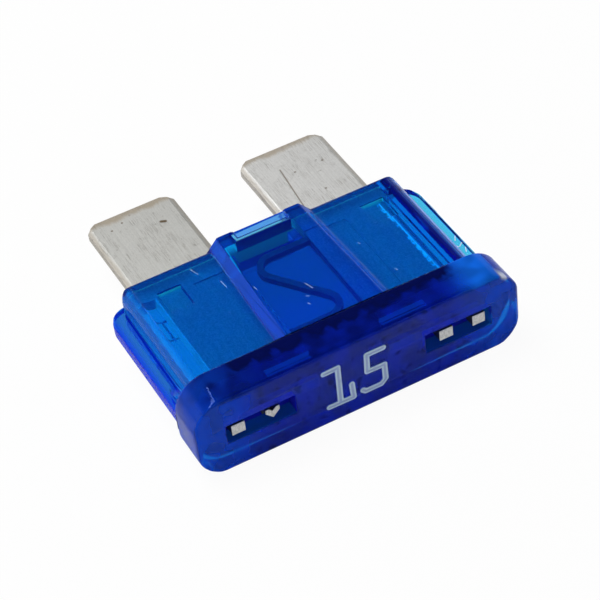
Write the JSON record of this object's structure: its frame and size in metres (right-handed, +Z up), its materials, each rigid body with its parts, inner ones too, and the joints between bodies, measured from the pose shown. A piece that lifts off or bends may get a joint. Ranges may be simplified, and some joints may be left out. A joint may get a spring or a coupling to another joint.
{
  "type": "automotive blade fuse",
  "caption": "Plug-in blade fuse: a translucent blue moulding with a thick head and side flanges over a stamped strip with flat blades and an S-shaped link.",
  "frame": {"origin": "centre of the fuse in plan, on the surface that it lies on", "axes": "+X along the width, +Y from the head towards the blade tips, +Z up through the thickness"},
  "size_m": [0.019, 0.0186, 0.0051],
  "materials": {
    "blue_plastic": "translucent royal blue, smooth moulded polycarbonate",
    "plated_zinc": "satin tin-plated zinc alloy with fine lengthwise scratches and tarnished edges"
  },
  "bodies": {
    "root": {"housing": "blue_plastic", "fuse_element": "plated_zinc"}
  },
  "joints": []
}
